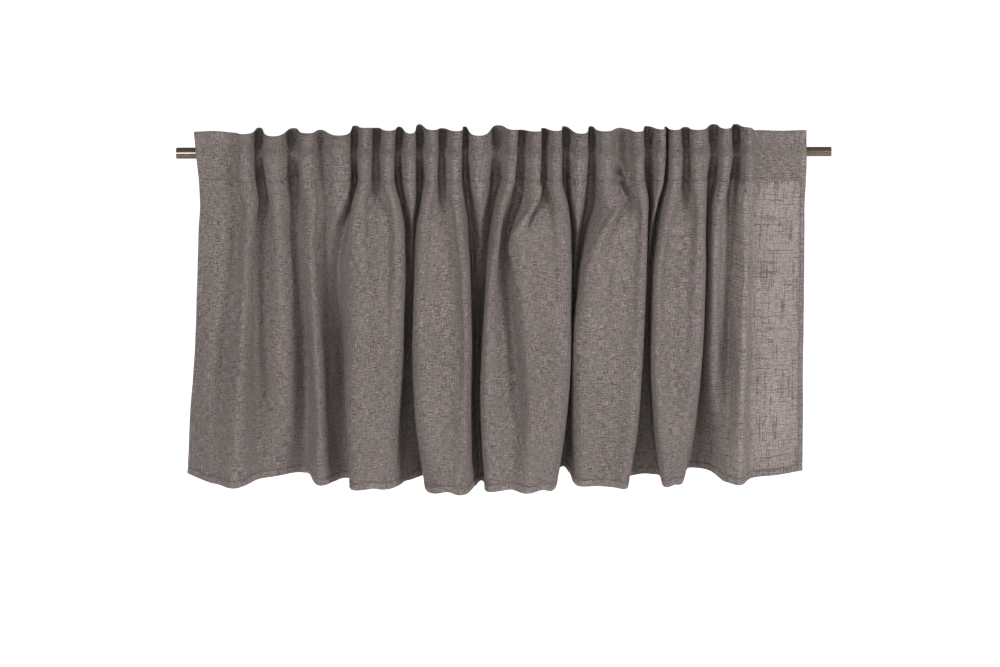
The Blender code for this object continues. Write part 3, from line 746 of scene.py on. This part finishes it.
def cloth_grid():
    """The whole cloth as rows of points, from the turned hem up the front, over the top and down behind."""
    counts = columns_between()
    heights = row_heights()
    front = front_layer(heights, counts)
    measured = [front[nearest_row(heights, height)] for height in (MIDDLE, SEAM)]
    lengths_across = (lengths_to(measured[0]) + lengths_to(measured[1])) / 2
    reach = np.minimum(lengths_across, lengths_across[-1] - lengths_across)
    gaps = LAYER_GAP + (CORNER_GAP - LAYER_GAP) * np.clip(1 - (reach - SIDE_HEM) / CORNER_REACH, 0, 1)
    back = back_layer(front, heights, gaps)

    # The layers were worked out with +Y forward and from the top down. From here -Y is forward.
    front, back = (layer * (1, -1, 1) for layer in (front, back))
    front = front[::-1]
    heights = heights[::-1]
    front = add_waves(front, lengths_across, lengths_along(front, 0))
    front = add_creases(front, heights, counts)
    front = add_sewing(front, heights, lengths_across)
    normals = surface_normals(front)
    hem_top = HEM + BOTTOM_HEM + HEM_TURN_MARGIN
    hem_rows = [i for i, height in enumerate(heights) if height <= hem_top]
    turned = (front[hem_rows] - normals[hem_rows] * gaps[None, :, None])[::-1][:-1]
    crown = (front[-1] + back[0]) / 2 + (0, 0, CROWN_RISE)
    grid = np.concatenate([turned, front, [crown], back])
    grid = np.concatenate([side_turned(grid, False)[:, ::-1], grid, side_turned(grid, True)], axis=1)
    return grid, heights, len(turned)


def new_object(name, bm, material):
    mesh = bpy.data.meshes.new(name)
    bm.to_mesh(mesh)
    bm.free()
    mesh.materials.append(material)
    piece = bpy.data.objects.new(name, mesh)
    bpy.context.scene.collection.objects.link(piece)
    return piece


def make_cloth(grid, thickness, material):
    """The sheet, made from a flat grid whose points are moved onto the folds."""
    rows, columns = grid.shape[:2]
    bm = bmesh.new()
    bmesh.ops.create_grid(bm, x_segments=columns - 1, y_segments=rows - 1, size=1)
    bm.verts.ensure_lookup_table()
    across, down = lengths_along(grid, 1), lengths_along(grid, 0)
    uv = bm.loops.layers.uv.new("cloth")
    for vertex in bm.verts:
        row, column = divmod(vertex.index, columns)
        vertex.co = grid[row, column]
    for face in bm.faces:
        face.smooth = True
        for loop in face.loops:
            row, column = divmod(loop.vert.index, columns)
            loop[uv].uv = (across[column], down[row])
    piece = new_object("valance_cloth", bm, material)
    solid = piece.modifiers.new("thickness", "SOLIDIFY")
    solid.thickness = thickness
    solid.offset = 0
    solid.use_even_offset = False
    return piece


def stitch_run(bm, line, outward, lift):
    """Short stitches along a line of points, lying on the side of the cloth that outward points to."""
    along = lengths_to(line)
    middles = np.arange(STITCH_PITCH / 2, along[-1] - STITCH_PITCH / 2, STITCH_PITCH)
    starts = points_at(middles - STITCH_LENGTH / 2, along, line)
    ends = points_at(middles + STITCH_LENGTH / 2, along, line)
    sides = points_at(middles, along, outward)
    placed = []
    for start, end, side in zip(starts, ends, sides):
        centre = Vector((start + end) / 2 + side * lift)
        turn = Vector(end - start).to_track_quat("Z", "Y").to_matrix().to_4x4()
        placed.append(Matrix.Translation(centre) @ turn)
    for first in range(0, len(placed), STITCHES_IN_A_LOT):
        add_lot(bm, placed[first : first + STITCHES_IN_A_LOT])


def add_lot(bm, placed):
    """A lot of stitches, made on their own and then added, which is faster in a large mesh."""
    lot = bmesh.new()
    for matrix in placed:
        bmesh.ops.create_cone(
            lot,
            cap_ends=True,
            segments=STITCH_SIDES,
            radius1=STITCH_RADIUS,
            radius2=STITCH_RADIUS,
            depth=STITCH_LENGTH,
            matrix=matrix,
        )
    mesh = bpy.data.meshes.new("stitch_lot")
    lot.to_mesh(mesh)
    lot.free()
    bm.from_mesh(mesh)
    bpy.data.meshes.remove(mesh)


def make_stitches(grid, heights, hem_row_count, thickness, material):
    """The running stitches of the seam, the bottom hem and both side hems."""
    normals = surface_normals(grid)
    lift = thickness / 2 + STITCH_RADIUS * STITCH_RISE
    inside = slice(SIDE_HEM_COLUMNS, -SIDE_HEM_COLUMNS)
    seam_row, hem_row = (
        hem_row_count + nearest_row(heights, height) for height in (SEAM, HEM + BOTTOM_HEM)
    )
    flap_row = len(grid) - 2
    bm = bmesh.new()
    for row in (seam_row, hem_row, flap_row):
        stitch_run(bm, grid[row, inside], normals[row, inside], lift)
    hanging = slice(hem_row_count + 1, seam_row)
    outer = SIDE_HEM_COLUMNS + 1
    for column, neighbour in ((outer, outer + 1), (-1 - outer, -2 - outer)):
        from_outer = grid[hanging, column] * (1 - SIDE_STITCH_SHARE)
        line = from_outer + grid[hanging, neighbour] * SIDE_STITCH_SHARE
        stitch_run(bm, line, normals[hanging, column], lift)
    return new_object("valance_stitching", bm, material)


def turned_tube(name, profile, material):
    """A round piece turned about the X axis from a profile of (x, radius), drawn from left to right."""
    bm = bmesh.new()
    points = [bm.verts.new((x, 0, radius)) for x, radius in profile]
    edges = [bm.edges.new(pair) for pair in zip(points, points[1:])]
    bmesh.ops.spin(
        bm,
        geom=points + edges,
        cent=(0, 0, 0),
        axis=(1, 0, 0),
        angle=2 * math.pi,
        steps=ROD_SIDES,
        use_merge=True,
        use_duplicate=False,
    )
    bmesh.ops.remove_doubles(bm, verts=bm.verts, dist=0.01 * MM)
    bmesh.ops.recalc_face_normals(bm, faces=bm.faces)
    piece = new_object(name, bm, material)
    piece.data.shade_smooth()
    piece.data.set_sharp_from_angle(angle=math.radians(SHARP_EDGE_DEGREES))
    return piece


def plugged_end(x, radius, outward):
    """The end of a tube from its middle outwards: a flat plug set a little way into the rolled rim."""
    inner = radius - TUBE_WALL
    return [
        (x - outward * PLUG_DEPTH, 0),
        (x - outward * PLUG_DEPTH, inner),
        (x - outward * INNER_CHAMFER, inner),
        (x, inner + INNER_CHAMFER),
        (x, radius - END_CHAMFER),
        (x - outward * CHAMFER_BULGE, radius - CHAMFER_BULGE),
        (x - outward * END_CHAMFER, radius),
    ]


class ValanceClothSettings(bpy.types.PropertyGroup):
    """The weave and its yarns."""

    thickness: FloatProperty(
        name="Thickness", description="Thickness of the cloth", default=CLOTH_THICKNESS, unit="LENGTH"
    )
    yarn_pitch: FloatProperty(
        name="Yarn Pitch", description="Distance over two yarns", default=1.1 * MM, unit="LENGTH"
    )
    dark_yarn: FloatVectorProperty(
        name="Dark Yarn",
        description="Colour of the dark yarns",
        default=(0.080, 0.065, 0.060),
        subtype="COLOR",
    )
    pale_yarn: FloatVectorProperty(
        name="Pale Yarn",
        description="Colour of the pale yarns",
        default=(0.41, 0.345, 0.335),
        subtype="COLOR",
    )
    olive_yarn: FloatVectorProperty(
        name="Olive Yarn",
        description="Colour of the olive yarns",
        default=(0.205, 0.185, 0.145),
        subtype="COLOR",
    )
    glow: FloatVectorProperty(
        name="Glow",
        description="Colour of light through the cloth",
        default=(0.36, 0.335, 0.32),
        subtype="COLOR",
    )


class ValanceRodSettings(bpy.types.PropertyGroup):
    """The steel of the telescopic rod."""

    steel: FloatVectorProperty(
        name="Steel", description="Colour of the steel", default=(0.17, 0.135, 0.105), subtype="COLOR"
    )
    roughness: FloatProperty(
        name="Roughness", description="How far the steel blurs what it mirrors", default=0.14, min=0, max=1
    )


class ValanceStudioSettings(bpy.types.PropertyGroup):
    """The floor, the lights and the camera."""

    floor: FloatVectorProperty(
        name="Floor", description="Colour of the floor", default=(0.93, 0.93, 0.93), subtype="COLOR"
    )
    floor_drop: FloatProperty(
        name="Floor Drop", description="How far the floor lies below the rod", default=1.25, unit="LENGTH"
    )
    key_power: FloatProperty(
        name="Key Power", description="Power of the light at the right, in watts", default=85
    )
    fill_power: FloatProperty(
        name="Fill Power", description="Power of the light at the left, in watts", default=60
    )
    front_power: FloatProperty(
        name="Front Power", description="Power of the light in front, in watts", default=60
    )
    window_power: FloatProperty(
        name="Window Power", description="Power of the light behind the right side, in watts", default=3.4
    )
    sky: FloatProperty(name="Sky", description="Brightness of the light all around", default=0.10)


class VALANCE_OT_hang_cloth(bpy.types.Operator):
    """Hang the gathered cloth on the rod and sew it"""

    bl_idname = "valance.hang_cloth"
    bl_label = "Hang Cloth"

    def execute(self, context):
        settings = context.scene.valance_cloth
        grid, heights, hem_row_count = cloth_grid()
        weave = cloth_material(settings, lengths_along(grid, 1)[-1])
        cloth = make_cloth(grid, settings.thickness, weave)
        thread = thread_material(settings)
        stitches = make_stitches(grid, heights, hem_row_count, settings.thickness, thread)
        for piece in (cloth, stitches):
            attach(piece, "root")
        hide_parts("valance")
        return {"FINISHED"}


class VALANCE_OT_finish_rod(bpy.types.Operator):
    """Turn the two tubes of the telescopic rod"""

    bl_idname = "valance.finish_rod"
    bl_label = "Finish Rod"

    def execute(self, context):
        steel = rod_material(context.scene.valance_rod)
        socket = THIN_RADIUS + SLIDING_GAP
        thick = turned_tube(
            "rod_thick",
            plugged_end(ROD_LEFT, THICK_RADIUS, -1)
            + [
                (ROD_JOIN_X, THICK_RADIUS),
                (ROD_JOIN_X, socket),
                (SOCKET_END_X - SLIDING_GAP, socket),
                (SOCKET_END_X - SLIDING_GAP, 0),
            ],
            steel,
        )
        thin = turned_tube(
            "rod_thin",
            [(SOCKET_END_X, 0), (SOCKET_END_X, THIN_RADIUS)] + plugged_end(ROD_RIGHT, THIN_RADIUS, 1)[::-1],
            steel,
        )
        for piece, node in ((thick, "rod_thick_tube"), (thin, "rod_thin_tube")):
            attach(piece, "root")
            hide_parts(node)
        return {"FINISHED"}


def add_softbox(name, place, aim, size, spread, power):
    data = bpy.data.lights.new(name, "AREA")
    data.shape = "RECTANGLE"
    data.size, data.size_y = size
    data.energy = power
    data.spread = math.radians(spread)
    light = bpy.data.objects.new(name, data)
    light.location = place
    light.rotation_euler = (Vector(aim) - Vector(place)).to_track_quat("-Z", "Y").to_euler()
    bpy.context.scene.collection.objects.link(light)


class VALANCE_OT_set_studio(bpy.types.Operator):
    """Lay the pale floor and set the lights and the camera"""

    bl_idname = "valance.set_studio"
    bl_label = "Set Studio"

    def execute(self, context):
        settings = context.scene.valance_studio
        bm = bmesh.new()
        bmesh.ops.create_grid(bm, x_segments=1, y_segments=1, size=FLOOR_HALF_WIDTH)
        bmesh.ops.translate(bm, verts=bm.verts, vec=(0, 0, -settings.floor_drop))
        new_object("floor", bm, floor_material(settings))

        world = bpy.data.worlds.new("studio")
        world.use_nodes = True
        background = world.node_tree.nodes["Background"]
        background.inputs["Color"].default_value = (1, 1, 1, 1)
        background.inputs["Strength"].default_value = settings.sky
        context.scene.world = world
        for name, place, aim, size, spread, power in LIGHTS:
            add_softbox(name, place, aim, size, spread, getattr(settings, power))

        data = bpy.data.cameras.new("camera")
        data.lens = CAMERA_LENS
        camera = bpy.data.objects.new("camera", data)
        camera.location = CAMERA_PLACE
        camera.rotation_euler = (math.radians(90 - CAMERA_DOWN), math.radians(CAMERA_ROLL), 0)
        context.scene.collection.objects.link(camera)
        context.scene.camera = camera
        context.scene.view_settings.view_transform = "Standard"
        return {"FINISHED"}


class VALANCE_PT_tools(bpy.types.Panel):
    """The valance's tools in the sidebar"""

    bl_idname = "VALANCE_PT_tools"
    bl_label = "Valance"
    bl_space_type = "VIEW_3D"
    bl_region_type = "UI"
    bl_category = "Valance"

    def draw(self, context):
        groups = (
            (context.scene.valance_cloth, VALANCE_OT_hang_cloth),
            (context.scene.valance_rod, VALANCE_OT_finish_rod),
            (context.scene.valance_studio, VALANCE_OT_set_studio),
        )
        for settings, operator in groups:
            box = self.layout.box()
            for name in settings.bl_rna.properties.keys():
                if name not in ("rna_type", "name"):
                    box.prop(settings, name)
            box.operator(operator.bl_idname)


CLASSES = (
    ValanceClothSettings,
    ValanceRodSettings,
    ValanceStudioSettings,
    VALANCE_OT_hang_cloth,
    VALANCE_OT_finish_rod,
    VALANCE_OT_set_studio,
    VALANCE_PT_tools,
)


def register():
    for item in CLASSES:
        bpy.utils.register_class(item)
    bpy.types.Scene.valance_cloth = PointerProperty(type=ValanceClothSettings)
    bpy.types.Scene.valance_rod = PointerProperty(type=ValanceRodSettings)
    bpy.types.Scene.valance_studio = PointerProperty(type=ValanceStudioSettings)


def unregister():
    del bpy.types.Scene.valance_studio
    del bpy.types.Scene.valance_rod
    del bpy.types.Scene.valance_cloth
    for item in reversed(CLASSES):
        bpy.utils.unregister_class(item)


def main():
    register()
    bpy.ops.valance.finish_rod()
    bpy.ops.valance.hang_cloth()
    bpy.ops.valance.set_studio()


if __name__ == "__main__":
    main()
